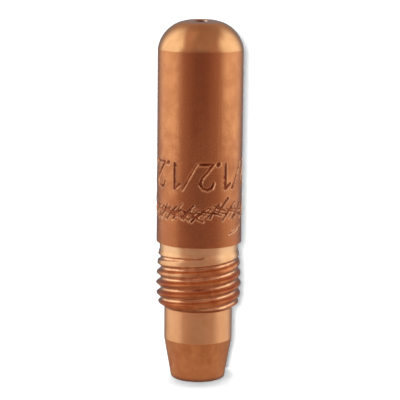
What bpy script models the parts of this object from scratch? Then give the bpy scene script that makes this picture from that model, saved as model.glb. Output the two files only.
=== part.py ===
# Welding contact tip: one turned copper piece with a wire bore right through it.
# From the tail up it has a tapered seat, a plain pilot, a rolled two-start thread, a relief,
# a long drawn body and a round nose. It stands on its tail face, with the bore along +Z.

import bpy
import math
import numpy as np

# Lengths along the axis, from the tail face up
OVERALL_LENGTH = 0.0381
SEAT_LENGTH = 0.00435
PILOT_LENGTH = 0.00342
THREAD_LENGTH = 0.0062
RELIEF_LENGTH = 0.00076
SHOULDER_LENGTH = 0.00006
NOSE_LENGTH = 0.0035

# Body and nose
BODY_RADIUS = 0.0045
RELIEF_DEPTH = 0.00036
NOSE_LAND_RADIUS = 0.001
NOSE_OVERRUN = 0.00004
TAIL_TAPER = math.radians(10)
TAIL_EDGE_RADIUS = 0.0003

# Bore for a 1.2 mm welding wire, with a lead-in cone where the wire enters
BORE_RADIUS = 0.000675
MOUTH_CHAMFER = 0.00003
LEAD_IN_RADIUS = 0.0016
LEAD_IN_LENGTH = 0.0014

# Rolled thread: two starts, right-hand, with crests that fall away towards both ends
THREAD_STARTS = 2
CREST_SPACING = 0.001115
CREST_HEIGHT_OVER_BODY = 0.00001
CREST_FALL = 0.00024
CREST_FLAT = 0.00014
ROOT_FLAT = 0.0002
THREAD_DEPTH = 0.0005
THREAD_END_CHAMFER = 0.00045
THREAD_START_CHAMFER = 0.00035
PILOT_CLEARANCE = 0.00041
RUN_OUT_TURNS = 0.3
RUN_OUT_LIFT = 0.00014
RUN_OUT_ANGLE = math.radians(270)
RUN_OUT_BELOW_TOP = 0.00033

# Facets
ROUND_STEPS = 64
NOSE_STEPS = 9
CREST_STEPS = 6
EDGE_STEPS = 3
SHARP_ANGLE = math.radians(28)
MERGE_DISTANCE = 1e-7

seat_top = SEAT_LENGTH
pilot_top = seat_top + PILOT_LENGTH
thread_top = pilot_top + THREAD_LENGTH
relief_top = thread_top + RELIEF_LENGTH
body_bottom = relief_top + SHOULDER_LENGTH

crest_radius = BODY_RADIUS + CREST_HEIGHT_OVER_BODY
root_radius = crest_radius - THREAD_DEPTH
relief_radius = BODY_RADIUS - RELIEF_DEPTH
pilot_radius = root_radius - PILOT_CLEARANCE
thread_lead = THREAD_STARTS * CREST_SPACING
round_step = math.tau / ROUND_STEPS


def clear_scene():
    for thing in list(bpy.data.objects):
        bpy.data.objects.remove(thing, do_unlink=True)


def new_collection(name):
    collection = bpy.data.collections.new(name)
    bpy.context.scene.collection.children.link(collection)
    return collection


def new_object(name, mesh, collection):
    thing = bpy.data.objects.new(name, mesh)
    collection.objects.link(thing)
    return thing


def copper():
    material = bpy.data.materials.new("copper")
    material.use_nodes = True
    shader = material.node_tree.nodes["Principled BSDF"]
    shader.inputs["Base Color"].default_value = (0.72, 0.33, 0.18, 1)
    shader.inputs["Metallic"].default_value = 1
    shader.inputs["Roughness"].default_value = 0.32
    return material


def nose_points():
    """The nose corner: an ellipse from the flat land round the bore out to the body."""
    width = BODY_RADIUS + NOSE_OVERRUN - NOSE_LAND_RADIUS
    end = math.acos((BODY_RADIUS - NOSE_LAND_RADIUS) / width)
    base = OVERALL_LENGTH - NOSE_LENGTH
    return [
        (NOSE_LAND_RADIUS + width * math.cos(angle), base + NOSE_LENGTH * math.sin(angle))
        for angle in np.linspace(math.pi / 2, end, NOSE_STEPS + 1)
    ]


def crest_points():
    """The thread blank before its grooves: a slight barrel between two chamfers."""
    top = thread_top - THREAD_START_CHAMFER
    bottom = pilot_top + THREAD_END_CHAMFER
    middle = (top + bottom) / 2
    half = (top - bottom) / 2
    return [
        (crest_radius - CREST_FALL * ((z - middle) / half) ** 2, z)
        for z in np.linspace(top, bottom, CREST_STEPS + 1)
    ]


def tail_points():
    """The tapered seat and the rounded edge that leads to the tail face."""
    turn = math.pi / 2 - TAIL_TAPER
    tangent = TAIL_EDGE_RADIUS * math.tan(turn / 2)
    corner = pilot_radius - seat_top * math.tan(TAIL_TAPER)
    centre_x = corner - tangent
    return [(pilot_radius, seat_top)] + [
        (
            centre_x + TAIL_EDGE_RADIUS * math.cos(angle),
            TAIL_EDGE_RADIUS + TAIL_EDGE_RADIUS * math.sin(angle),
        )
        for angle in np.linspace(-TAIL_TAPER, -math.pi / 2, EDGE_STEPS + 1)
    ]


def turned_outline():
    """One closed outline at +X: down the outside, across the tail and back up the bore."""
    outside = nose_points()
    outside += [(BODY_RADIUS, body_bottom), (relief_radius, relief_top), (relief_radius, thread_top)]
    outside += crest_points()
    outside += [(pilot_radius, pilot_top)]
    outside += tail_points()
    inside = [
        (LEAD_IN_RADIUS, 0),
        (BORE_RADIUS, LEAD_IN_LENGTH),
        (BORE_RADIUS, OVERALL_LENGTH - MOUTH_CHAMFER),
        (BORE_RADIUS + MOUTH_CHAMFER, OVERALL_LENGTH),
    ]
    return outside + inside


def turned_blank(collection):
    points = turned_outline()
    count = len(points)
    mesh = bpy.data.meshes.new("contact_tip")
    mesh.from_pydata(
        [(radius, 0, z) for radius, z in points],
        [(i, (i + 1) % count) for i in range(count)],
        [],
    )
    blank = new_object("contact_tip", mesh, collection)
    turn = blank.modifiers.new("turn", "SCREW")
    turn.steps = ROUND_STEPS
    turn.render_steps = ROUND_STEPS
    turn.use_merge_vertices = True
    turn.merge_threshold = MERGE_DISTANCE
    return blank


def groove_section(angle, z, lift):
    """A thread groove across the helix, open outwards, with lift as its run-out."""
    half_mouth = (CREST_SPACING - CREST_FLAT) / 2
    outer = crest_radius + THREAD_DEPTH + lift
    section = [
        (root_radius + lift, z - ROOT_FLAT / 2),
        (crest_radius + lift, z - half_mouth),
        (outer, z - half_mouth),
        (outer, z + half_mouth),
        (crest_radius + lift, z + half_mouth),
        (root_radius + lift, z + ROOT_FLAT / 2),
    ]
    return [(r * math.cos(angle), r * math.sin(angle), height) for r, height in section]


def groove_cutter(start, collection):
    """One start of the thread, lofted up its helix and lifted out of the metal at the top.

    Its sections lie half a facet round from the corners of the blank, so that no edge of
    one runs along an edge of the other.
    """
    last_angle = RUN_OUT_ANGLE + round_step / 2 + math.tau * start / THREAD_STARTS
    last_z = thread_top - RUN_OUT_BELOW_TOP
    first_z = pilot_top - CREST_SPACING
    steps = math.ceil((last_z - first_z) / thread_lead * ROUND_STEPS)
    sections = []
    for i in range(steps, -1, -1):
        z = last_z - thread_lead * i / ROUND_STEPS
        left = max(0.0, 1 - i / (RUN_OUT_TURNS * ROUND_STEPS))
        sections.append(groove_section(last_angle - i * round_step, z, RUN_OUT_LIFT * left))
    size = len(sections[0])
    points = [point for section in sections for point in section]
    faces = [tuple(range(size))]
    for i in range(steps):
        for j in range(size):
            k = (j + 1) % size
            faces.append((i * size + j, (i + 1) * size + j, (i + 1) * size + k, i * size + k))
    faces.append(tuple(steps * size + j for j in reversed(range(size))))
    mesh = bpy.data.meshes.new(f"thread_groove_{start + 1}")
    mesh.from_pydata(points, [], faces)
    cutter = new_object(mesh.name, mesh, collection)
    cutter.display_type = "WIRE"
    cutter.hide_render = True
    return cutter


def cut_thread(blank, collection):
    for start in range(THREAD_STARTS):
        cut = blank.modifiers.new(f"groove_{start + 1}", "BOOLEAN")
        cut.operation = "DIFFERENCE"
        cut.solver = "EXACT"
        cut.object = groove_cutter(start, collection)


def finish(thing):
    """Keeps the modifiers' result as the mesh, smooth but for its real edges."""
    evaluated = thing.evaluated_get(bpy.context.evaluated_depsgraph_get())
    thing.data = bpy.data.meshes.new_from_object(evaluated)
    thing.modifiers.clear()
    thing.data.name = thing.name
    thing.data.shade_smooth()
    thing.data.set_sharp_from_angle(angle=SHARP_ANGLE)
    thing.data.materials.clear()
    thing.data.materials.append(copper())


def main():
    clear_scene()
    parts = new_collection("welding_contact_tip")
    cutters = new_collection("cutters")
    tip = turned_blank(parts)
    cut_thread(tip, cutters)
    finish(tip)


main()
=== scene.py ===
import math

import bpy
import numpy as np
from mathutils import Matrix, Vector


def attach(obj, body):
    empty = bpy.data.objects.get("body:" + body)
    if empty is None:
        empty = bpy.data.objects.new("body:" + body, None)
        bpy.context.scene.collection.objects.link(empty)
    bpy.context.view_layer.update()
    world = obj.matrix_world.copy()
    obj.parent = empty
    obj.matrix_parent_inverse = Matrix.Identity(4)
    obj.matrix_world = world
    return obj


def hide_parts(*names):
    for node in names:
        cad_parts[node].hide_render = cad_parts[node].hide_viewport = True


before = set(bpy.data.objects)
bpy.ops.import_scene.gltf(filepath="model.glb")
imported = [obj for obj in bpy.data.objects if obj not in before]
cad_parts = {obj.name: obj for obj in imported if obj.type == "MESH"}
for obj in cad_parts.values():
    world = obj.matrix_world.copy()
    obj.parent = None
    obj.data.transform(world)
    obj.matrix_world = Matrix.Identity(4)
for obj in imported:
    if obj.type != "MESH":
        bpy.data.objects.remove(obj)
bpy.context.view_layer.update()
scene = bpy.context.scene
scene.view_settings.view_transform = "Standard"
print("frame loaded")

mm = 0.001


# Camera, fitted to the outline of the object in the photograph
cameraSettings = {
    "target": (0.082, 0, 19.128),  # millimetres
    "distance": 189.19,
    "elevation": 10.318,  # degrees above the horizon
    "roll": 0.614,  # the top of the object leans to the right
    "lens": 161.52,
    "sensor": 36,
    "clip": (0.01, 10),  # metres
}


def addCamera(look):
    tilt = math.radians(look["elevation"])
    back = Vector((0, -math.cos(tilt), math.sin(tilt)))
    bpy.ops.object.camera_add(location=(Vector(look["target"]) + back * look["distance"]) * mm)
    camera = bpy.context.object
    turn = Matrix.Rotation(math.pi / 2 - tilt, 3, "X")
    turn = turn @ Matrix.Rotation(math.radians(look["roll"]), 3, "Z")
    camera.rotation_euler = turn.to_euler()
    camera.data.lens = look["lens"]
    camera.data.sensor_width = look["sensor"]
    camera.data.clip_start, camera.data.clip_end = look["clip"]
    scene.camera = camera


addCamera(cameraSettings)
print("camera placed")


# Helpers for meshes
def selectOnly(*things):
    bpy.ops.object.select_all(action="DESELECT")
    for thing in things:
        thing.select_set(True)
    bpy.context.view_layer.objects.active = things[0]


def drawLine(points):
    # one vertex, extruded from point to point as by hand
    bpy.ops.object.select_all(action="DESELECT")
    bpy.ops.mesh.primitive_plane_add(size=mm, location=(points[0][0] * mm, 0, points[0][1] * mm))
    bpy.ops.object.transform_apply(location=True, rotation=False, scale=False)
    bpy.ops.object.mode_set(mode="EDIT")
    bpy.ops.mesh.select_all(action="SELECT")
    bpy.ops.mesh.merge(type="CENTER")
    for (r0, z0), (r1, z1) in zip(points, points[1:]):  # radius and height
        step = ((r1 - r0) * mm, 0, (z1 - z0) * mm)
        bpy.ops.mesh.extrude_region_move(TRANSFORM_OT_translate={"value": step})
    bpy.ops.object.mode_set(mode="OBJECT")
    return bpy.context.object


def spinRound(thing, steps):
    selectOnly(thing)
    bpy.ops.object.mode_set(mode="EDIT")
    bpy.ops.mesh.select_all(action="SELECT")
    bpy.ops.mesh.spin(
        steps=steps, angle=math.tau, center=(0, 0, 0), axis=(0, 0, 1), use_auto_merge=True)
    bpy.ops.object.mode_set(mode="OBJECT")


cornerShape = {
    "arcSteps": 4,
    "hold": 0.05,  # distance from an arc to the ring that keeps the straight run beside it flat
    "straight": 88,  # degrees; a half angle above this is no corner
}


def softenCorners(points):
    # points are (radius, height, corner radius); each corner becomes a short arc
    arcSteps, hold = cornerShape["arcSteps"], cornerShape["hold"]
    line = [points[0][:2]]
    for before, here, after in zip(points, points[1:], points[2:]):
        corner = Vector(here[:2])
        runs = [Vector(near[:2]) - corner for near in (before, after)]
        toBefore, toAfter = (run.normalized() for run in runs)
        half = toBefore.angle(toAfter) / 2
        if here[2] == 0 or half > math.radians(cornerShape["straight"]):
            line.append(tuple(corner))
            continue
        reach = here[2] / math.tan(half)
        centre = corner + (toBefore + toAfter).normalized() * here[2] / math.sin(half)
        start = corner + toBefore * reach - centre
        end = corner + toAfter * reach - centre
        turn = math.atan2(start.x * end.y - start.y * end.x, start.dot(end))
        if runs[0].length > reach + 3 * hold:
            line.append(tuple(corner + toBefore * (reach + hold)))
        for i in range(arcSteps + 1):
            spot = centre + Matrix.Rotation(turn * i / arcSteps, 2) @ start
            line.append(tuple(spot))
        if runs[1].length > reach + 3 * hold:
            line.append(tuple(corner + toAfter * (reach + hold)))
    line.append(points[-1][:2])
    return line


def addGrid(columns, rows):
    # a flat grid, and for each of its points the column and row
    bpy.ops.object.select_all(action="DESELECT")
    bpy.ops.mesh.primitive_grid_add(x_subdivisions=columns, y_subdivisions=rows, size=1)
    sheet = bpy.context.object
    co = readPoints(sheet)
    column = np.rint((co[:, 0] + 0.5) * columns).astype(int)
    row = np.rint((co[:, 1] + 0.5) * rows).astype(int)
    return sheet, column, row


def readPoints(thing):
    co = np.empty(len(thing.data.vertices) * 3, dtype=np.float32)
    thing.data.vertices.foreach_get("co", co)
    return co.reshape(-1, 3).astype(float)


def writeRound(thing, angle, radius, height):
    co = np.stack([radius * np.cos(angle), radius * np.sin(angle), height], axis=1) * mm
    thing.data.vertices.foreach_set("co", co.astype(np.float32).ravel())
    thing.data.update()


def smoothLower(a, b, blend):
    # the lower of two values, with their corner rounded
    near = np.maximum(blend - np.abs(a - b), 0) / blend
    return np.minimum(a, b) - near * near * blend / 4


def ramp(low, high, value):
    t = np.clip((value - low) / (high - low), 0, 1)
    return t * t * (3 - 2 * t)


# The tip's turned shape, in millimetres from the tail face up
turnedShape = {
    "steps": 256,
    "bodyRadius": 4.475,
    "noseTop": 38.1,
    "noseHeight": 3.5,
    "noseOverrun": 0.04,  # leaves the faint ring where the nose meets the drawn body
    "noseRings": 26,
    "landRadius": 1.0,
    "boreRadius": 0.675,
    "mouthRadius": 0.8,
    "mouthDepth": 0.06,
    "bodyBottom": 14.79,
    "reliefRadius": 4.14,
    "reliefTop": 14.73,
    "pilotRadius": 3.6,
    "seatTop": 4.35,
    "tailRadius": 2.833,
    "tailEdge": 0.3,  # corner radii, here and below
    "leadInRadius": 1.6,
    "leadInLength": 1.4,
    "leadInEdge": 0.06,
    "leadInEnd": 0.1,
    "seatEdge": 0.15,
    "shoulderEdge": 0.04,
    "margin": 0.05,  # height of the ring that borders a zone
    "outside": 3.0,  # points of the thread and body further out than this aren't in the bore
}

# The rolled thread: two grooves wound round a slightly barrelled blank
threadShape = {
    "bottom": 7.72,
    "top": 14.02,
    "starts": 2,
    "lead": 2.23,
    "rootRadius": 4.015,
    "depth": 0.5,
    "rootFlat": 0.2,
    "crestFlat": 0.08,
    "cornerRounding": 0.1,  # share of the flank that each rounded corner takes
    "crestBlend": 0.05,
    "endAngle": 281,  # degrees; where a groove runs out at the top
    "endHeight": 13.708,
    # run-out of a groove: turns below its end, and how far it is lifted out of the metal there
    "runOut": [(0, 0.3), (0.012, 0.15), (0.1, 0.12), (0.2, 0.07), (0.3, 0)],
    "workedFrom": 12.9,  # the crests are squeezed rough below this height
    "workedTo": 12.2,
    "crestHighlight": (-38, 26, 11.3),  # angle from the front, width and least height of the crest's painted highlight
    "cutRange": (0.015, 0.06),  # depth below the blank at which the groove's colours begin
    "rootRange": (0.04, 0.2),  # share of the depth up to which the root is bright
    "redRange": (13.5, 12.7),  # heights between which the flanks turn red
    "redLeast": 0.25,
    "patchEdges": (0.08, 0.06),  # softness of the patches, in height and from the root
    # angle from the front, width, lowest and highest point, the same measured from the root, and
    # how much brighter (painted highlight) or darker (painted shade) a patch is
    "patches": [
        (-30, 16, 11.35, 11.95, 0.05, 0.6, 0.9),
        (-30, 22, 8.85, 9.45, -0.1, 0.3, 0.9),
        (-50, 20, 7.8, 11.2, 0.3, 0.6, -0.75),
        (-50, 20, 7.8, 11.2, -0.6, -0.26, -0.75),
        (52, 18, 8.2, 11.8, 0.3, 0.6, -0.75),
        (52, 18, 8.2, 11.8, -0.6, -0.3, -0.75),
        (2, 14, 10.05, 10.6, -0.12, 0.12, -0.9),
        (-8, 24, 9.3, 10.9, 0.4, 0.6, -0.35),
    ],
    "rowsInCrest": 18,
    "crowding": 0.03,  # how much closer the rows are at roots and crests
    "crests": 8,  # that the sheet spans before it is trimmed
    "crestsBelow": 6,  # the end of the groove
    "blank": [
        (7.72, 3.6), (7.77, 3.6), (8.2, 4.25), (9.22, 4.44), (10.32, 4.505),
        (11.42, 4.44), (12.52, 4.36), (13.4, 4.29), (13.62, 4.25), (13.8, 4.19),
        (13.95, 4.15), (14.02, 4.14),
    ],
}

# The stamped band: plain size figures above, a loose rolled ornament below
stampShape = {
    "columns": 512,
    "rowSpacing": 0.08,
    "top": 23.9,
    "bottom": 15.75,
    "figureLow": 20.95,
    "figureHeight": 2.65,
    "figureMiddle": 0.3,  # of the box of one unit that holds each figure
    "figureRepeat": 72,  # degrees from one group to the next
    "figures": [("/", -14), ("1", -35), (".", -46), ("2", -62)],  # degrees from the front
    "figureStroke": 0.27,
    "figureDepth": 0.16,
    "widths": {".": 1.5, "/": 0.9},  # against the other figures' strokes
    "depths": {"/": 0.75},
    "bandLow": 17.55,
    "bandHeight": 1.9,
    "bandCount": 30,
    "bandStroke": 0.17,
    "bandDepth": 0.16,
    "bandScatter": 0.4,
    "bandSpan": (0.9, 1.5),  # width of a line, in spacings
    "bandForce": (0.55, 1.1),
    "swellAngles": (22, 145, 262),  # degrees; where the band stands taller
    "swellWidth": 14,
    "swellShare": 0.35,
    "dashes": [(45, 16.15, 64, 16.5), (51, 16.5, 70, 16.85), (225, 16.2, 246, 16.5)],
    "dashStroke": 0.14,
    "dashDepth": 0.07,
    # uneven edges and depth: pairs of waves, each by its turn in radians per mm across and up
    "broadWaves": ((9.1, 4.3), (-3.1, 6.7)),
    "fineWaves": ((23, 0), (0, 19)),
    "biteWaves": ((2.3, 1.1), (-1.7, 5.2)),
    "force": (0.7, 1.0),  # from stroke to stroke
    "grooveWidth": (1.15, 0.12),  # against the stroke's, and how much it wavers
    "bite": (0.8, 0.3),  # depth against the stroke's, and how much it wavers
    "burr": 0.04,
    "burrWidth": 0.1,
    "burrFall": 0.06,  # how fast the burr falls away beside its ridge
    "burrSide": (0.6, 0.4, 0.5),  # the burrs stand higher and are painted brighter below and to the right of a stroke; the brighter side is painted highlight
    "burrWaver": 0.35,
    "burrGap": 0.03,  # no burr where a stroke is deeper than this
    "dent": 0.02,  # the metal sinks a little round a stamp
    "dentReach": 0.5,
    "seed": 11,
}

# The lines of the ornament in a box one unit high, how low each may stand and how tall
bandLines = {
    "steep": ([(0, 0), (0.25, 0.3), (0.6, 0.65), (1.0, 1.0)], 0.25, (0.6, 1.0)),
    "flat": ([(0, 0.6), (0.45, 0.33), (0.95, 0.13), (1.5, 0.0)], 0.5, (0.5, 0.9)),
}

# Strokes of the figures in a box one unit high, read the right way up
figureStrokes = {
    "1": [[(0.3, 0), (0.3, 1), (0.06, 0.8)]],
    "2": [[(0.04, 0.76), (0.1, 0.93), (0.29, 1), (0.48, 0.93), (0.56, 0.76), (0.5, 0.56),
           (0.28, 0.3), (0.04, 0.0), (0.58, 0.0)]],
    "/": [[(0, 0), (0.56, 1)]],
    ".": [[(0.28, 0.0), (0.33, 0.03)]],
}


def turnedZones(shape):
    body, land = shape["bodyRadius"], shape["landRadius"]
    top, margin = shape["noseTop"], shape["margin"]
    line = softenCorners([
        (shape["pilotRadius"], threadShape["bottom"], 0),
        (shape["pilotRadius"], threadShape["bottom"] - margin, 0),
        (shape["pilotRadius"], shape["seatTop"], shape["seatEdge"]),
        (shape["tailRadius"], 0, shape["tailEdge"]),
        (shape["leadInRadius"], 0, shape["leadInEdge"]),
        (shape["boreRadius"], shape["leadInLength"], shape["leadInEnd"]),
        (shape["boreRadius"], top - shape["mouthDepth"], 0),
        (shape["mouthRadius"], top, 0),
        (land, top, 0),
    ])
    width = body + shape["noseOverrun"] - land
    last = math.acos((body - land) / width)
    for angle in np.linspace(math.pi / 2, last, shape["noseRings"] + 1)[1:]:
        z = top - shape["noseHeight"] * (1 - math.sin(angle))
        line.append((land + width * math.cos(angle), z))
    line.append((body, line[-1][1] - margin))
    line.append((body, stampShape["top"]))
    main = drawLine(line)
    spinRound(main, shape["steps"])
    under = drawLine(softenCorners([
        (body, stampShape["bottom"], 0),
        (body, shape["bodyBottom"], shape["shoulderEdge"]),
        (shape["reliefRadius"], shape["reliefTop"], shape["shoulderEdge"]),
        (shape["reliefRadius"], threadShape["top"] + margin, 0),
        (shape["reliefRadius"], threadShape["top"], 0),
    ]))
    spinRound(under, shape["steps"])
    return [main, under]


def blankRadius(height):
    z, r = zip(*threadShape["blank"])
    return np.interp(height, z, r)


def threadPlace(angle, height):
    # against the nearest groove: turns below its end, height over its middle, and
    # share of the depth, from 0 at the root to 1 at the crest
    shape = threadShape
    pitch = shape["lead"] / shape["starts"]
    part = 1 / shape["starts"]
    behind = ((math.radians(shape["endAngle"]) - angle) / math.tau) % part
    turns = (shape["endHeight"] - height) / shape["lead"]
    along = behind + np.maximum(np.rint((turns - behind) / part), 0) * part
    off = height - (shape["endHeight"] - shape["lead"] * along)
    start, end = shape["rootFlat"] / 2, (pitch - shape["crestFlat"]) / 2
    t = (np.abs(off) - start) / (end - start)
    rounding = shape["cornerRounding"]
    t = -smoothLower(-smoothLower(t, 1.0 + 0 * t, rounding), 0 * t, rounding)
    return along, off, t


def threadRadius(angle, height):
    shape = threadShape
    along, _, t = threadPlace(angle, height)
    lift = np.interp(along, *zip(*shape["runOut"]))
    groove = shape["rootRadius"] + lift + shape["depth"] * t
    return smoothLower(blankRadius(height), groove, shape["crestBlend"])


def threadZone():
    shape = threadShape
    columns, rows = turnedShape["steps"], shape["rowsInCrest"]
    pitch = shape["lead"] / shape["starts"]
    sheet, column, row = addGrid(columns, shape["crests"] * rows)
    angle = column * math.tau / columns
    share = row / rows
    share = share + shape["crowding"] * np.sin(share * 2 * math.tau)
    rise = shape["lead"] * (angle / math.tau - shape["endAngle"] / 360)
    height = shape["endHeight"] + rise + pitch * (share - shape["crestsBelow"])
    height = np.clip(height, shape["bottom"], shape["top"])
    writeRound(sheet, angle, threadRadius(angle, height), height)
    return sheet


def bandStrokes():
    # an uneven crosswise pattern of slanting lines: steep ones one way, flat ones the other
    shape = stampShape
    rng = np.random.default_rng(shape["seed"] + 1)
    step = math.tau * turnedShape["bodyRadius"] / shape["bandCount"]
    low, tall = shape["bandLow"], shape["bandHeight"]
    scatter = shape["bandScatter"]
    strokes = []
    for i in range(shape["bandCount"]):
        turn = 360 * i / shape["bandCount"]
        apart = [min(abs(turn - here), 360 - abs(turn - here)) for here in shape["swellAngles"]]
        swell = shape["swellShare"] * math.exp(-((min(apart) / shape["swellWidth"]) ** 2))
        for kind, share in (("steep", 1.0), ("steep", 0.75), ("flat", 0.9), ("flat", 0.75)):
            curve, foot, reach = bandLines[kind]
            x = (i + rng.uniform(-scatter, scatter)) * step
            base = rng.uniform(0, foot)
            high = rng.uniform(*reach) * (1 - base)
            base += swell * rng.uniform(0, 1)
            high *= 1 + swell
            span = rng.uniform(*shape["bandSpan"]) * step
            line = [(x + u * span, low + (base + v * high) * tall) for u, v in curve]
            for a, b in zip(line, line[1:]):
                deep = shape["bandDepth"] * share * rng.uniform(*shape["bandForce"])
                strokes.append((*a, *b, shape["bandStroke"] * share, deep))
    return strokes


def stampStrokes():
    # every stroke as (x0, z0, x1, z1, width, depth), x being the arc from the front
    shape = stampShape
    perDegree = math.radians(turnedShape["bodyRadius"])
    strokes = []
    low, high, middleX = shape["figureLow"], shape["figureHeight"], shape["figureMiddle"]
    for turn in range(360 // shape["figureRepeat"]):
        for name, middle in shape["figures"]:
            centre = (middle + turn * shape["figureRepeat"]) * perDegree
            wide = shape["figureStroke"] * shape["widths"].get(name, 1)
            deep = shape["figureDepth"] * shape["depths"].get(name, 1)
            for stroke in figureStrokes[name]:
                # turned end for end: the figures read from the nose side
                flip = [(centre + (middleX - x) * high, low + (1 - y) * high) for x, y in stroke]
                for a, b in zip(flip, flip[1:]):
                    strokes.append((*a, *b, wide, deep))
    strokes += bandStrokes()
    for start, low, end, high in shape["dashes"]:
        ends = (start * perDegree, low, end * perDegree, high)
        strokes.append((*ends, shape["dashStroke"], shape["dashDepth"]))
    return strokes


def crossWaves(x, height, waves):
    (a, b), (c, d) = waves
    return np.sin(a * x + b * height) * np.sin(c * x + d * height)


def stampMarks(angle, height):
    # depth of the stamped grooves in mm, height of the burrs beside them from 0 to 1, which also
    # sets their painted highlight, and depth of the dents in mm
    shape = stampShape
    around = math.tau * turnedShape["bodyRadius"]
    x = (angle - math.radians(270)) * turnedShape["bodyRadius"]
    depth, burr, dent = np.zeros((3, len(angle)))
    rng = np.random.default_rng(shape["seed"])
    ragged = crossWaves(x, height, shape["broadWaves"])
    ragged += 0.5 * crossWaves(x, height, shape["fineWaves"])
    even, waver = shape["bite"]
    bite = even + waver * crossWaves(x, height, shape["biteWaves"])
    wider, waver = shape["grooveWidth"]
    common, lowerRightShare, right = shape["burrSide"]
    for x0, z0, x1, z1, wide, deep in stampStrokes():
        middle = (x0 + x1) / 2
        dx = (x - middle + around / 2) % around - around / 2 + middle
        run, rise = x1 - x0, z1 - z0
        t = ((dx - x0) * run + (height - z0) * rise) / max(run * run + rise * rise, 1e-9)
        t = np.clip(t, 0, 1)
        offX, offZ = dx - x0 - t * run, height - z0 - t * rise
        far = np.hypot(offX, offZ)
        force = rng.uniform(*shape["force"])
        half = wide / 2 * (wider + waver * ragged)
        cut = np.clip(1 - (far / half) ** 2, 0, 1) * deep * force * bite
        beside = (far - wide / 2 - shape["burrWidth"] / 2) / shape["burrFall"]
        side = common + lowerRightShare * (right * offX - offZ) / np.maximum(far, 1e-6)
        side = np.clip(side * (1 + shape["burrWaver"] * ragged), 0, 1)
        edge = np.exp(-(beside ** 2)) * force * side
        sunk = np.exp(-((far / shape["dentReach"]) ** 2)) * deep / shape["figureDepth"]
        depth = np.maximum(depth, cut)
        burr = np.maximum(burr, edge)
        dent = np.maximum(dent, sunk)
    burr = burr * (1 - ramp(0.0, shape["burrGap"], depth))
    return depth, burr, dent * shape["dent"]


def stampZone():
    shape = stampShape
    columns = shape["columns"]
    rows = round((shape["top"] - shape["bottom"]) / shape["rowSpacing"])
    sheet, column, row = addGrid(columns, rows)
    # the end rows take every second column, to meet the plain zones
    ends = (row == 0) | (row == rows)
    column = np.where(ends, column - column % 2, column)
    angle = column * math.tau / columns
    height = shape["bottom"] + (shape["top"] - shape["bottom"]) * row / rows
    depth, burr, dent = stampMarks(angle, height)
    change = burr * shape["burr"] - depth - dent * (1 - burr)
    change[ends] = 0
    writeRound(sheet, angle, turnedShape["bodyRadius"] + change, height)
    return sheet


meshLimits = {
    "merge": 2e-7,  # metres
    "degenerate": 1e-7,
    "smooth": 40,  # degrees; a sharper edge stays sharp
}


def makeTip():
    zones = turnedZones(turnedShape) + [threadZone(), stampZone()]
    selectOnly(*zones)
    bpy.ops.object.join()
    whole = bpy.context.object
    whole.name = whole.data.name = "contactTip"
    bpy.ops.object.mode_set(mode="EDIT")
    bpy.ops.mesh.select_all(action="SELECT")
    bpy.ops.mesh.remove_doubles(threshold=meshLimits["merge"])
    bpy.ops.mesh.dissolve_degenerate(threshold=meshLimits["degenerate"])
    bpy.ops.mesh.normals_make_consistent(inside=False)
    bpy.ops.object.mode_set(mode="OBJECT")
    bpy.ops.object.shade_smooth_by_angle(angle=math.radians(meshLimits["smooth"]))
    return whole


# Wear of the nose: its face slopes to the front, and the wire nicked the throat at the back right
mouthWear = {
    "slope": 0.08,
    "reach": 2.6,
    "depth": 0.6,  # how far below the nose the mouth's own points can lie
    "nickAngle": 38,  # degrees from +X towards +Y
    "nickHalfWidth": 36,
    "nickDown": 0.12,
    "slack": 0.005,
}


def wearMouth(thing):
    wear, shape = mouthWear, turnedShape
    co = readPoints(thing) / mm
    angle = np.arctan2(co[:, 1], co[:, 0])
    radius = np.hypot(co[:, 0], co[:, 1])
    height = co[:, 2].copy()
    top = (height > shape["noseTop"] - wear["depth"]) & (radius < wear["reach"])
    fall = wear["slope"] * np.maximum(shape["landRadius"] - co[:, 1], 0)
    height -= np.where(top, fall * (1 - ramp(shape["landRadius"], wear["reach"], radius)), 0)
    nick = np.exp(-(((np.degrees(angle) - wear["nickAngle"]) / wear["nickHalfWidth"]) ** 2))
    throat = top & (np.abs(radius - shape["boreRadius"]) < wear["slack"])
    height -= np.where(throat, wear["nickDown"] * nick, 0)
    writeRound(thing, angle, radius, height)


contactTip = makeTip()
wearMouth(contactTip)
contactTip.visible_diffuse = False  # keeps its colour off the white stage
print("tip shaped:", len(contactTip.data.polygons), "faces")


def addValues(thing, name, values):
    layer = thing.data.attributes.new(name, "FLOAT", "POINT")
    layer.data.foreach_set("value", np.asarray(values, dtype=np.float32))


def fromFront(angle, middle):
    # degrees round the tip from a place that is itself given from the front
    return (np.degrees(angle) - 270 - middle + 180) % 360 - 180


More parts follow.
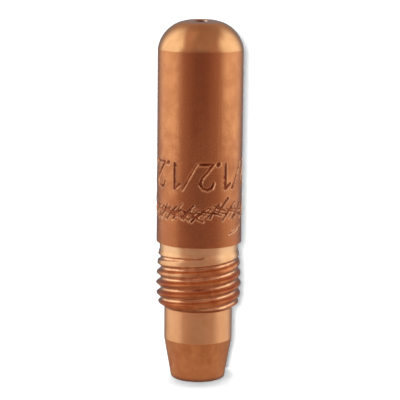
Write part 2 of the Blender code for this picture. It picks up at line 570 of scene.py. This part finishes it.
def markThread(thing, angle, height, radius):
    # how far each point is a root, a flank or a crest, where the thread can stain, and where shade
    # and highlights are painted on it
    shape = threadShape
    here = (height > shape["bottom"]) & (height < shape["top"]) & (radius > turnedShape["outside"])
    off, t = threadPlace(angle, height)[1:]
    deep = blankRadius(height) - radius
    cut = ramp(*shape["cutRange"], deep) * here
    worked = ramp(shape["workedFrom"], shape["workedTo"], height) * here
    middle, wide, least = shape["crestHighlight"]
    crestHighlight = np.exp(-((fromFront(angle, middle) / wide) ** 2)) * (height > least)
    red = shape["redLeast"] + (1 - shape["redLeast"]) * ramp(*shape["redRange"], height)
    flank = cut * ramp(*shape["rootRange"], t) * red
    shade = np.zeros(len(height))
    upEdge, offEdge = shape["patchEdges"]
    for middle, wide, low, high, below, above, change in shape["patches"]:
        patch = np.exp(-((fromFront(angle, middle) / wide) ** 2)) * here
        patch *= ramp(low - upEdge, low, height) * ramp(high + upEdge, high, height)
        patch *= ramp(below - offEdge, below, off) * ramp(above + offEdge, above, off)
        # a brighter patch is painted highlight that takes away flank and crest colour; a darker
        # one adds painted shade
        flank *= 1 - max(change, 0) * patch
        worked *= 1 - max(change, 0) * patch
        shade += max(-change, 0) * patch
    # the painted highlight on the left crests lets bright copper show through the dull crest
    # colour
    crest = worked * (1 - crestHighlight) * (1 - ramp(*shape["cutRange"], deep))
    addValues(thing, "threadShade", shade)
    addValues(thing, "threadRoot", cut * (1 - ramp(*shape["rootRange"], t)))
    addValues(thing, "threadUpper", flank * (off < 0))
    addValues(thing, "threadLower", flank * (off > 0))
    addValues(thing, "threadCrest", crest)
    addValues(thing, "threadWorked", np.maximum(cut, worked))


def markStamps(thing, angle, height, radius):
    shape = stampShape
    here = (height > shape["bottom"]) & (height < shape["top"]) & (radius > turnedShape["outside"])
    depth, burr = np.zeros((2, len(height)))
    depth[here], burr[here] = stampMarks(angle[here], height[here])[:2]
    addValues(thing, "stampDepth", np.clip(depth / shape["figureDepth"], 0, 1))
    addValues(thing, "stampBurr", burr)


def markTip(thing):
    # how deep each point lies in the thread or in a stamp, for the materials
    co = readPoints(thing) / mm
    angle = np.arctan2(co[:, 1], co[:, 0]) % math.tau
    radius = np.hypot(co[:, 0], co[:, 1])
    markThread(thing, angle, co[:, 2], radius)
    markStamps(thing, angle, co[:, 2], radius)


markTip(contactTip)


# Helpers for nodes. Each new node is placed beside the last one.
def addNode(tree, kind, inputs=None, **settings):
    made = tree.nodes.new(kind)
    column, row = divmod(len(tree.nodes), 8)
    made.location = (220 * column, -260 * row)
    for name, value in settings.items():
        setattr(made, name, value)
    for name, value in (inputs or {}).items():
        if isinstance(value, bpy.types.NodeSocket):
            tree.links.new(value, made.inputs[name])
        else:
            made.inputs[name].default_value = value
    return made


def doMath(tree, operation, *parts):
    return addNode(tree, "ShaderNodeMath", dict(enumerate(parts)), operation=operation).outputs[0]


def mapRange(tree, value, low, high, toLow=0.0, toHigh=1.0, smooth=True):
    made = addNode(tree, "ShaderNodeMapRange", {
        "Value": value, "From Min": low, "From Max": high, "To Min": toLow, "To Max": toHigh,
    }, interpolation_type="SMOOTHSTEP" if smooth else "LINEAR")
    return made.outputs["Result"]


def mixValue(tree, factor, a, b):
    return addNode(tree, "ShaderNodeMix", {0: factor, 2: a, 3: b}).outputs[0]


def mixColour(tree, factor, a, b, blend="MIX"):
    # a and b are sockets, or linear red, green and blue
    a, b = [it if isinstance(it, bpy.types.NodeSocket) else (*it, 1) for it in (a, b)]
    parts = {0: factor, 6: a, 7: b}
    return addNode(tree, "ShaderNodeMix", parts, data_type="RGBA", blend_type=blend).outputs[2]


def vectorMath(tree, operation, inputs):
    return addNode(tree, "ShaderNodeVectorMath", inputs, operation=operation).outputs


def addNoise(tree, spot, scale, detail, roughness=0.5):
    return addNode(tree, "ShaderNodeTexNoise", {
        "Vector": spot, "Scale": scale, "Detail": detail, "Roughness": roughness}).outputs


def splitParts(tree, vector):
    return addNode(tree, "ShaderNodeSeparateXYZ", {0: vector}).outputs


def joinParts(tree, *parts):
    return addNode(tree, "ShaderNodeCombineXYZ", dict(enumerate(parts))).outputs[0]


def onObject(tree):
    return addNode(tree, "ShaderNodeTexCoord").outputs["Object"]


def scaledSpot(tree, size):
    # place on the object in units of size, which is in millimetres
    scale = doMath(tree, "DIVIDE", 1.0, doMath(tree, "MULTIPLY", size, mm))
    return vectorMath(tree, "SCALE", {0: onObject(tree), "Scale": scale})[0]


def readValue(tree, name):
    return addNode(tree, "ShaderNodeAttribute", attribute_name=name).outputs["Fac"]


def newGroup(name, inputs, outputs):
    group = bpy.data.node_groups.new(name, "ShaderNodeTree")
    for label, value in inputs:
        socket = group.interface.new_socket(label, in_out="INPUT", socket_type="NodeSocketFloat")
        socket.default_value = value
    for label in outputs:
        group.interface.new_socket(label, in_out="OUTPUT", socket_type="NodeSocketFloat")
    start = group.nodes.new("NodeGroupInput")
    start.location = (-900, 0)
    end = group.nodes.new("NodeGroupOutput")
    end.location = (900, 0)
    return group, start.outputs, end.inputs


def useGroup(tree, group, inputs):
    return addNode(tree, "ShaderNodeGroup", inputs, node_tree=group).outputs


def makeRingGroup():
    # tool rings: noise over radius and height, the same all the way round
    group, start, end = newGroup("turningRings", [("Spacing", 0.1), ("Waver", 0.3)], ["Height"])
    parts = splitParts(group, onObject(group))
    flat = joinParts(group, parts[0], parts[1])
    radius = vectorMath(group, "LENGTH", {0: flat})["Value"]
    angle = doMath(group, "ARCTAN2", parts[1], parts[0])
    wide = doMath(group, "MULTIPLY", start["Spacing"], mm)
    a = doMath(group, "DIVIDE", radius, wide)
    b = doMath(group, "DIVIDE", parts[2], wide)
    c = doMath(group, "MULTIPLY", angle, start["Waver"])
    spot = joinParts(group, a, b, c)
    fine = addNoise(group, spot, scale=1, detail=2, roughness=0.6)
    group.links.new(fine["Fac"], end["Height"])
    return group


def makeStreakGroup():
    # scratches along the axis, from drawing the bar through its die
    group, start, end = newGroup(
        "drawnStreaks", [("Width", 0.15), ("Length", 6.0)], ["Height", "Tone"])
    parts = splitParts(group, onObject(group))
    wide = doMath(group, "MULTIPLY", start["Width"], mm)
    tall = doMath(group, "MULTIPLY", start["Length"], mm)
    x = doMath(group, "DIVIDE", parts[0], wide)
    y = doMath(group, "DIVIDE", parts[1], wide)
    z = doMath(group, "DIVIDE", parts[2], tall)
    spot = joinParts(group, x, y, z)
    fine = addNoise(group, spot, scale=1, detail=3, roughness=0.6)
    broad = addNoise(group, spot, scale=0.3, detail=2)
    group.links.new(fine["Fac"], end["Height"])
    group.links.new(mapRange(group, broad["Fac"], 0.32, 0.68), end["Tone"])
    return group


def makeMottleGroup():
    # cloudy patches where the metal has dulled
    group, start, end = newGroup(
        "dulledPatches", [("Size", 1.0), ("Contrast", 0.2), ("Seed", 0.0)], ["Patches", "Grain"])
    spot = scaledSpot(group, start["Size"])
    shift = vectorMath(group, "ADD", {0: spot, 1: start["Seed"]})[0]
    cloud = addNoise(group, shift, scale=1, detail=4, roughness=0.55)
    grain = addNoise(group, shift, scale=9, detail=3, roughness=0.7)
    low = doMath(group, "SUBTRACT", 0.5, start["Contrast"])
    high = doMath(group, "ADD", 0.5, start["Contrast"])
    group.links.new(mapRange(group, cloud["Fac"], low, high), end["Patches"])
    group.links.new(grain["Fac"], end["Grain"])
    return group


pitSettings = {
    "bend": 0.12,  # how much noise bends the pits' outlines
    "sizes": (0.35, 1.0),  # smallest and largest, against the size asked for
}


def makePitGroup():
    # scattered small pits and nicks
    look = pitSettings
    group, start, end = newGroup(
        "smallPits", [("Spacing", 0.6), ("Size", 0.3), ("Share", 0.4)], ["Height", "Mask"])
    spot = scaledSpot(group, start["Spacing"])
    bent = addNoise(group, spot, scale=3, detail=2)["Color"]
    parts = {0: look["bend"], 4: spot, 5: bent}
    moved = addNode(group, "ShaderNodeMix", parts, data_type="VECTOR").outputs[1]
    cell = addNode(group, "ShaderNodeTexVoronoi", {"Vector": moved, "Scale": 1}).outputs
    chance = addNode(group, "ShaderNodeSeparateColor", {0: cell["Color"]}).outputs
    here = doMath(group, "LESS_THAN", chance[0], start["Share"])
    size = mapRange(group, chance[1], 0, 1, *look["sizes"])
    size = doMath(group, "MULTIPLY", start["Size"], size)
    hole = mapRange(group, cell["Distance"], 0.0, size, 1.0, 0.0)
    mask = doMath(group, "MULTIPLY", hole, here)
    group.links.new(mask, end["Mask"])
    group.links.new(doMath(group, "MULTIPLY", mask, -1.0), end["Height"])
    return group


turningRings = makeRingGroup()
drawnStreaks = makeStreakGroup()
dulledPatches = makeMottleGroup()
smallPits = makePitGroup()


# Copper in its finishes. Colours are linear; sizes are in millimetres.
commonFinish = {  # holds where a finish says nothing else
    "spot": (0.45, 0.2, 0.1), "contrast": 0.2, "metallic": 1.0, "anisotropic": 0.9, "turn": 0.25,
    "ringSpacing": 0.1, "rings": 0.3, "streakWidth": 0.2, "streakLength": 3.0, "streaks": 0.0,
    "pitSpacing": 0.5, "pitSize": 0.2, "pitShare": 0.35, "pits": 0.3, "grain": 0.5, "bump": 0.004,
}
copperFinishes = {
    "drawnCopper": {
        "bright": (0.78, 0.355, 0.155), "dull": (0.67, 0.28, 0.118), "spot": (0.24, 0.085, 0.045),
        "patchSize": 1.5, "seed": 3.0, "roughness": (0.22, 0.32), "anisotropic": 0.3, "turn": 0.0,
        "rings": 0.0, "streakWidth": 0.13, "streakLength": 2.2, "streaks": 0.8,
        "pitSpacing": 0.55, "pitShare": 0.3, "pits": 0.8, "grain": 0.35, "bump": 0.008,
    },
    "turnedCopper": {
        "bright": (0.85, 0.475, 0.225), "dull": (0.78, 0.405, 0.18),
        "patchSize": 1.6, "contrast": 0.25, "seed": 7.0, "roughness": (0.19, 0.25),
        "ringSpacing": 0.09, "rings": 0.35,
        "pitSpacing": 0.8, "pitSize": 0.12, "pitShare": 0.2, "grain": 0.12,
    },
    "reliefCopper": {
        "bright": (0.95, 0.60, 0.34), "dull": (0.88, 0.54, 0.29),
        "patchSize": 1.4, "contrast": 0.3, "seed": 6.0, "roughness": (0.3, 0.35), "metallic": 0.9,
        "ringSpacing": 0.09,
        "pitSpacing": 0.7, "pitSize": 0.13, "pitShare": 0.25, "grain": 0.15,
    },
    "pilotCopper": {
        "bright": (0.79, 0.415, 0.205), "dull": (0.72, 0.355, 0.16),
        "patchSize": 1.4, "contrast": 0.3, "seed": 6.0, "roughness": (0.29, 0.34), "metallic": 0.8,
        "anisotropic": 0.7, "ringSpacing": 0.09,
        "pitSpacing": 0.7, "pitSize": 0.13, "pitShare": 0.25, "grain": 0.15,
    },
    "rolledCopper": {
        "bright": (0.92, 0.56, 0.30), "dull": (0.84, 0.47, 0.23), "spot": (0.42, 0.14, 0.06),
        "patchSize": 0.9, "contrast": 0.25, "seed": 5.0, "roughness": (0.28, 0.33),
        "metallic": 0.88, "anisotropic": 0.8, "ringSpacing": 0.12, "rings": 0.1,
        "pitSpacing": 0.4, "pitSize": 0.16, "pits": 0.5, "bump": 0.006,
    },
    "seatCopper": {
        "bright": (0.55, 0.205, 0.07), "dull": (0.45, 0.15, 0.048), "spot": (0.17, 0.055, 0.03),
        "patchSize": 1.3, "seed": 9.0, "roughness": (0.44, 0.52), "metallic": 0.55,
        "anisotropic": 0.2, "rings": 0.6, "pits": 0.7, "bump": 0.007,
    },
    # the rim round the mouth is painted near white: a painted highlight
    "mouthGlintCopper": {
        "bright": (0.98, 0.84, 0.74), "dull": (0.92, 0.74, 0.62), "spot": (0.5, 0.3, 0.2),
        "patchSize": 1.0, "seed": 4.0, "roughness": (0.16, 0.22), "anisotropic": 0.0, "turn": 0.0,
        "rings": 0.2, "pitSize": 0.1, "pitShare": 0.2, "pits": 0.2, "grain": 0.2, "bump": 0.003,
    },
    "boreCopper": {
        "bright": (0.5, 0.23, 0.11), "dull": (0.3, 0.135, 0.065), "spot": (0.06, 0.03, 0.02),
        "patchSize": 0.8, "seed": 2.0, "roughness": (0.35, 0.5), "anisotropic": 0.0, "turn": 0.0,
        "rings": 0.6, "streakWidth": 0.1, "streakLength": 2.0, "streaks": 0.3,
        "pitShare": 0.4, "pits": 0.5, "grain": 0.4, "bump": 0.005,
    },
}
markColours = {
    "stampFloorShade": (0.30, 0.075, 0.03),
    "stampBurr": (0.97, 0.60, 0.36),
    "threadRoot": (1.0, 0.60, 0.34),
    "threadUpper": (0.56, 0.145, 0.037),
    "threadLower": (0.65, 0.215, 0.075),
    "threadCrest": (0.68, 0.25, 0.09),
    "edge": (0.17, 0.12, 0.095),
}
# roughness, and how metallic the surface still looks under its bloom
threadFinish = {
    "threadRoot": (0.08, 1.0),
    "threadUpper": (0.4, 0.65),
    "threadLower": (0.42, 0.6),
    "threadCrest": (0.32, 0.85),
}
# grazing surfaces look greyer: from, to and share of the shade
edgeShade = {
    "rolledCopper": (0.42, 0.85, 0.48),
    "drawnCopper": (0.66, 0.96, 0.42),
    "seatCopper": (0.66, 0.96, 0.45),
    "others": (0.66, 0.96, 0.2),
}
# the drawn body is duller towards the stamped band
bodyDulling = {
    "from": 30.0,
    "to": 16.0,
    "wander": 4.0,  # how far the dulled patches shift its border up and down
    "colour": (0.455, 0.155, 0.06),
    "metallic": 0.84,
    "share": 0.95,
}
# real weathering, and the painted shade on the stamp floors and along the tail's bottom edge
weatheringAndShade = {
    "waver": 0.25,  # of the turning rings
    "lines": 0.5,  # share of dull colour in the streaks
    "spots": 0.7,  # share of spot colour in the pits
    "pitRoughness": 0.2,
    "stampFloorShade": (0.05, 0.6),  # share of the full depth from which a groove's floor gets painted shade
    "threadStains": 0.45,  # how much darker the stained patches of the thread are
    "tailShade": (0.6, 0.95),  # height and share of the painted shade along the tail's bottom edge
}


def shadeBody(tree, shader, colour, patches):
    # the stamped band's side is duller; the stamps' floors get painted shade, and their burrs are
    # bright, partly by painted highlight
    height = splitParts(tree, onObject(tree))[2]
    wander = doMath(tree, "SUBTRACT", patches, 0.5)
    wander = doMath(tree, "MULTIPLY", wander, bodyDulling["wander"] * mm)
    height = doMath(tree, "ADD", height, wander)
    dulledShare = mapRange(tree, height, bodyDulling["to"] * mm, bodyDulling["from"] * mm,
                    bodyDulling["share"], 0.0)
    colour = mixColour(tree, dulledShare, colour, bodyDulling["colour"])
    metal = mapRange(tree, dulledShare, 0, 1, 1.0, bodyDulling["metallic"], smooth=False)
    tree.links.new(metal, shader.inputs["Metallic"])
    # the burrs' bright colour is partly painted highlight, brightest below and to the right
    colour = mixColour(tree, readValue(tree, "stampBurr"), colour, markColours["stampBurr"])
    # painted shade on the floors of the stamped grooves
    floor = mapRange(tree, readValue(tree, "stampDepth"), *weatheringAndShade["stampFloorShade"])
    return mixColour(tree, floor, colour, markColours["stampFloorShade"])


def shadeThread(tree, shader, colour, rough, patches, look):
    # roots, flanks and crests each have their colour, under uneven stains and painted shade
    metal = look["metallic"]
    for part, (partRough, partMetal) in threadFinish.items():
        here = readValue(tree, part)
        colour = mixColour(tree, here, colour, markColours[part])
        rough = mixValue(tree, here, rough, partRough)
        metal = mixValue(tree, here, metal, partMetal)
    tree.links.new(metal, shader.inputs["Metallic"])
    stainsAndShade = mapRange(tree, patches, 0, 1, 1.0, 0.0)
    worked = readValue(tree, "threadWorked")
    worked = doMath(tree, "MULTIPLY", worked, weatheringAndShade["threadStains"])
    stainsAndShade = doMath(tree, "MULTIPLY", stainsAndShade, worked)
    # painted shade from the thread's patches, taken together with the real stains
    stainsAndShade = doMath(tree, "MAXIMUM", stainsAndShade, readValue(tree, "threadShade"))
    return mixColour(tree, stainsAndShade, colour, look["spot"], "MULTIPLY"), rough


def shadeTail(tree, colour, look):
    # painted shade along the bottom edge, where the tail meets the floor
    height = splitParts(tree, onObject(tree))[2]
    reach, share = weatheringAndShade["tailShade"]
    paintedShade = mapRange(tree, height, 0.0, reach * mm, share, 0.0)
    return mixColour(tree, paintedShade, colour, look["spot"])


def makeCopper(name, look):
    material = bpy.data.materials.new(name)
    material.use_nodes = True
    tree = material.node_tree
    shader = tree.nodes["Principled BSDF"]
    shader.location = (1540, 0)
    tree.nodes["Material Output"].location = (1840, 0)
    shader.inputs["Metallic"].default_value = look["metallic"]
    shader.inputs["Anisotropic"].default_value = look["anisotropic"]
    shader.inputs["Anisotropic Rotation"].default_value = look["turn"]
    around = addNode(tree, "ShaderNodeTangent", direction_type="RADIAL", axis="Z")
    tree.links.new(around.outputs[0], shader.inputs["Tangent"])
    rings = useGroup(tree, turningRings, {
        "Spacing": look["ringSpacing"], "Waver": weatheringAndShade["waver"]})
    streaks = useGroup(tree, drawnStreaks, {
        "Width": look["streakWidth"], "Length": look["streakLength"]})
    patches = useGroup(tree, dulledPatches, {
        "Size": look["patchSize"], "Contrast": look["contrast"], "Seed": look["seed"]})
    pits = useGroup(tree, smallPits, {
        "Spacing": look["pitSpacing"], "Size": look["pitSize"], "Share": look["pitShare"]})

    colour = mixColour(tree, patches["Patches"], look["dull"], look["bright"])
    lined = doMath(tree, "MULTIPLY", streaks["Tone"], look["streaks"] * weatheringAndShade["lines"])
    colour = mixColour(tree, lined, colour, look["dull"])
    spots = doMath(tree, "MULTIPLY", pits["Mask"], weatheringAndShade["spots"])
    colour = mixColour(tree, spots, colour, look["spot"])
    smoothest, roughest = look["roughness"]
    rough = mapRange(tree, patches["Patches"], 0, 1, roughest, smoothest)
    if name == "drawnCopper":
        colour = shadeBody(tree, shader, colour, patches["Patches"])
    if name == "rolledCopper":
        colour, rough = shadeThread(tree, shader, colour, rough, patches["Patches"], look)
    if name == "seatCopper":
        colour = shadeTail(tree, colour, look)
    low, high, share = edgeShade.get(name, edgeShade["others"])
    grazing = addNode(tree, "ShaderNodeLayerWeight", {"Blend": 0.5}).outputs["Facing"]
    grazing = mapRange(tree, grazing, low, high, 0.0, share)
    colour = mixColour(tree, grazing, colour, markColours["edge"])
    tree.links.new(colour, shader.inputs["Base Color"])
    rough = doMath(tree, "MULTIPLY_ADD", pits["Mask"], weatheringAndShade["pitRoughness"], rough)
    tree.links.new(rough, shader.inputs["Roughness"])

    height = doMath(tree, "MULTIPLY", rings["Height"], look["rings"])
    height = doMath(tree, "MULTIPLY_ADD", streaks["Height"], look["streaks"], height)
    height = doMath(tree, "MULTIPLY_ADD", pits["Height"], look["pits"], height)
    height = doMath(tree, "MULTIPLY_ADD", patches["Grain"], look["grain"], height)
    bump = addNode(tree, "ShaderNodeBump", {
        "Height": height, "Strength": 1.0, "Distance": look["bump"] * mm})
    tree.links.new(bump.outputs[0], shader.inputs["Normal"])
    return material


finishBorders = {
    "nose": 0.45,  # the nose's finish begins this far above its foot
    "bore": 0.5,  # and the bore's this far above the tail face
    "slack": 0.02,
}


def dressTip(thing):
    names = list(copperFinishes)
    thing.data.materials.clear()
    for name in names:
        thing.data.materials.append(makeCopper(name, {**commonFinish, **copperFinishes[name]}))
    count = len(thing.data.polygons)
    centre = np.empty(count * 3, dtype=np.float32)
    thing.data.polygons.foreach_get("center", centre)
    centre = centre.reshape(-1, 3) / mm
    radius, height = np.hypot(centre[:, 0], centre[:, 1]), centre[:, 2]
    shape, border = turnedShape, finishBorders
    nose = height > shape["noseTop"] - shape["noseHeight"] + border["nose"]
    thread = (height < threadShape["top"]) & (height > threadShape["bottom"])
    bore = (radius < shape["boreRadius"] + border["slack"]) & (height > border["bore"])
    finish = np.zeros(count, dtype=np.int32)
    for where, name in (
        (nose, "turnedCopper"),
        (height < shape["bodyBottom"] + border["slack"], "reliefCopper"),
        (thread, "rolledCopper"),
        (height < threadShape["bottom"], "pilotCopper"),
        (height < shape["seatTop"], "seatCopper"),
        ((radius < shape["mouthRadius"]) & nose, "mouthGlintCopper"),
        (bore, "boreCopper"),
    ):
        finish[where] = names.index(name)
    thing.data.polygons.foreach_set("material_index", finish)
    thing.data.update()


dressTip(contactTip)
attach(contactTip, "root")
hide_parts("contact_tip")
print("tip dressed")


# Floor and backdrop
stageSettings = {
    "floorSize": 500,
    "wallWidth": 90,
    # distance behind the axis, and height
    "wall": [(3.2, 0.0), (4.63, 10.2), (5.3, 38.0), (6.0, 70.0)],
    "paint": 0.85,
    "wallGlow": (0.28, 0.283, 0.287),  # camera rays only, so that the bare wall reaches white
    "floorGlow": (0.865, 0.865, 0.87),
    "contactPower": 2.2,
    "contactOpen": 0.94,  # share of open sky at which there is no shadow
    # reach in mm and lean of each part of the contact shadow: in front, and at the back right
    "contacts": [(4.6, (-0.05, 1.0, 0.55)), (2.3, (-0.75, -1.0, 0.6))],
}


def makeStagePaint(name, glow, contact):
    look = stageSettings
    material = bpy.data.materials.new(name)
    material.use_nodes = True
    tree = material.node_tree
    tree.nodes.clear()
    out = addNode(tree, "ShaderNodeOutputMaterial")
    paint = look["paint"]
    matte = addNode(tree, "ShaderNodeBsdfDiffuse", {"Color": (paint, paint, paint, 1)})
    strength = addNode(tree, "ShaderNodeLightPath").outputs["Is Camera Ray"]
    for reach, lean in look["contacts"] if contact else ():
        lean = vectorMath(tree, "NORMALIZE", {0: lean})[0]
        near = addNode(tree, "ShaderNodeAmbientOcclusion", {
            "Distance": reach * mm, "Normal": lean}, samples=32).outputs["AO"]
        near = mapRange(tree, near, 0.0, look["contactOpen"])
        near = doMath(tree, "POWER", near, look["contactPower"])
        strength = doMath(tree, "MULTIPLY", strength, near)
    light = addNode(tree, "ShaderNodeEmission", {"Color": (*glow, 1), "Strength": strength})
    both = addNode(tree, "ShaderNodeAddShader", {0: matte.outputs[0], 1: light.outputs[0]})
    # seen from behind the sheet is clear, so it hides nothing in other views
    behind = addNode(tree, "ShaderNodeNewGeometry").outputs["Backfacing"]
    clear = addNode(tree, "ShaderNodeBsdfTransparent").outputs[0]
    final = addNode(tree, "ShaderNodeMixShader", {0: behind, 1: both.outputs[0], 2: clear})
    tree.links.new(final.outputs[0], out.inputs[0])
    return material


def addStage(look):
    bpy.ops.object.select_all(action="DESELECT")
    bpy.ops.mesh.primitive_plane_add(size=look["floorSize"] * mm, location=(0, 0, 0))
    floor = bpy.context.object
    floor.name = "studioFloor"
    floor.data.materials.append(makeStagePaint("floorPaint", look["floorGlow"], True))
    wall, column, row = addGrid(1, len(look["wall"]) - 1)
    wall.name = "studioWall"
    behind, height = np.array(look["wall"])[row].T
    co = np.stack([(column - 0.5) * look["wallWidth"], behind, height], axis=1) * mm
    wall.data.vertices.foreach_set("co", co.astype(np.float32).ravel())
    wall.data.update()
    wall.data.materials.append(makeStagePaint("wallPaint", look["wallGlow"], False))
    wall.visible_shadow = False
    for sheet in (floor, wall):
        sheet.visible_glossy = False


addStage(stageSettings)


# The lamp, for the soft shadow on the wall
lampSettings = {
    "azimuth": -5.8,  # degrees from the camera's side; below 0 is to the left
    "elevation": 12.6,
    "aim": 19,  # height that it points at
    "distance": 300,
    "size": 54,
    "power": 0.88,
}


def addLamp(look):
    az, el = math.radians(look["azimuth"]), math.radians(look["elevation"])
    back = Vector((math.sin(az) * math.cos(el), -math.cos(az) * math.cos(el), math.sin(el)))
    place = Vector((0, 0, look["aim"])) + back * look["distance"]
    bpy.ops.object.light_add(type="AREA", location=place * mm)
    lamp = bpy.context.object
    lamp.name = "shadowLamp"
    lamp.rotation_euler = back.to_track_quat("Z", "Y").to_euler()
    lamp.data.shape = "DISK"
    lamp.data.size = look["size"] * mm
    lamp.data.energy = look["power"]
    lamp.visible_glossy = False


addLamp(lampSettings)


# The studio round the tip, by direction: azimuth 0 is the camera's side, elevation 0 the horizon.
# A limit says what it follows, where it starts and ends, and its values there if not 0 and 1.
studioSettings = {
    "low": (0.215, 0.11, 0.105),
    # laid over it in turn: how, colour, limits, and the limits within which it is held back
    "layers": [
        ("MIX", (0.41, 0.27, 0.23), [("elevation", 4, 26)], []),
        ("MIX", (0.345, 0.225, 0.185), [("elevation", 30, 70)], []),
        # from the front towards the cards, but less high up on the right
        ("ADD", (0.17, 0.11, 0.09), [("azimuth", 10, 46), ("azimuth", 90, 140, 1, 0)],
         [("across", -0.15, 0.15), ("elevation", 12, 35, 0, 0.85)]),
        ("MIX", (0.28, 0.275, 0.30), [("azimuth", 120, 160), ("elevation", 10, 40, 1, 0)], []),
        ("MIX", (0.52, 0.34, 0.26), [("elevation", -25, -16, 1, 0)], []),
        ("MIX", (0.16, 0.09, 0.07), [("elevation", -70, -40, 1, 0)], []),
    ],
    # Light cards, left and right: side, the plane through the tip that cuts it off, and limits
    "cards": [
        (-1, (-0.737, 0.521, -0.430), [("leant", 48, 72), ("elevation", 38, 74, 1, 0)]),
        (1, (0.730, 0.335, -0.596), [("leant", 47, 82), ("elevation", 33, 62, 1, 0)]),
    ],
    "cardLimits": [("azimuth", 113, 153, 1, 0), ("elevation", -34, -22), ("over", -0.12, 0.08)],
    "skew": 0.35,  # degrees that the inner edges lean inwards per degree of elevation
    "card": (1.2, 1.2, 1.17),
    "lowCard": (1.0, 0.93, 0.88),
    "cardRise": (-6, 8),  # elevations between the two colours
}


def within(tree, axes, limits):
    # 1 inside every limit, 0 outside
    whole = 1.0
    for axis, *limit in limits:
        whole = doMath(tree, "MULTIPLY", mapRange(tree, axes[axis], *limit), whole)
    return whole


def addCards(tree, look, toward, axes):
    above = doMath(tree, "MAXIMUM", axes["elevation"], 0.0)
    leant = doMath(tree, "MULTIPLY_ADD", above, look["skew"], axes["azimuth"])
    lit = 0.0
    for side, plane, limits in look["cards"]:
        over = vectorMath(tree, "DOT_PRODUCT", {0: toward, 1: plane})["Value"]
        here = {**axes, "leant": leant, "over": over}
        mask = within(tree, here, limits + look["cardLimits"])
        onSide = doMath(tree, "MULTIPLY", axes["across"], side)
        onSide = doMath(tree, "GREATER_THAN", onSide, 0.0)
        lit = doMath(tree, "MULTIPLY_ADD", mask, onSide, lit)
    return lit


def makeStudio(look):
    world = bpy.data.worlds.new("studio")
    scene.world = world
    world.use_nodes = True
    tree = world.node_tree
    tree.nodes.clear()
    toward = addNode(tree, "ShaderNodeTexCoord").outputs["Generated"]
    parts = splitParts(tree, toward)
    front = doMath(tree, "MULTIPLY", parts[1], -1.0)
    side = doMath(tree, "ABSOLUTE", parts[0])
    axes = {
        "across": parts[0],
        "azimuth": doMath(tree, "DEGREES", doMath(tree, "ARCTAN2", side, front)),
        "elevation": doMath(tree, "DEGREES", doMath(tree, "ARCSINE", parts[2])),
    }
    colour = look["low"]
    for blend, tint, limits, held in look["layers"]:
        share = within(tree, axes, limits)
        if held:
            free = doMath(tree, "SUBTRACT", 1.0, within(tree, axes, held))
            share = doMath(tree, "MULTIPLY", share, free)
        colour = mixColour(tree, share, colour, tint, blend)
    raised = mapRange(tree, axes["elevation"], *look["cardRise"])
    shine = mixColour(tree, raised, look["lowCard"], look["card"])
    colour = mixColour(tree, addCards(tree, look, toward, axes), colour, shine)
    seen = addNode(tree, "ShaderNodeLightPath").outputs["Is Camera Ray"]
    colour = mixColour(tree, seen, colour, (1, 1, 1))
    sky = addNode(tree, "ShaderNodeBackground", {"Color": colour})
    out = addNode(tree, "ShaderNodeOutputWorld")
    tree.links.new(sky.outputs[0], out.inputs[0])
    world.cycles_visibility.diffuse = False


makeStudio(studioSettings)
print("stage, lamp and studio set")
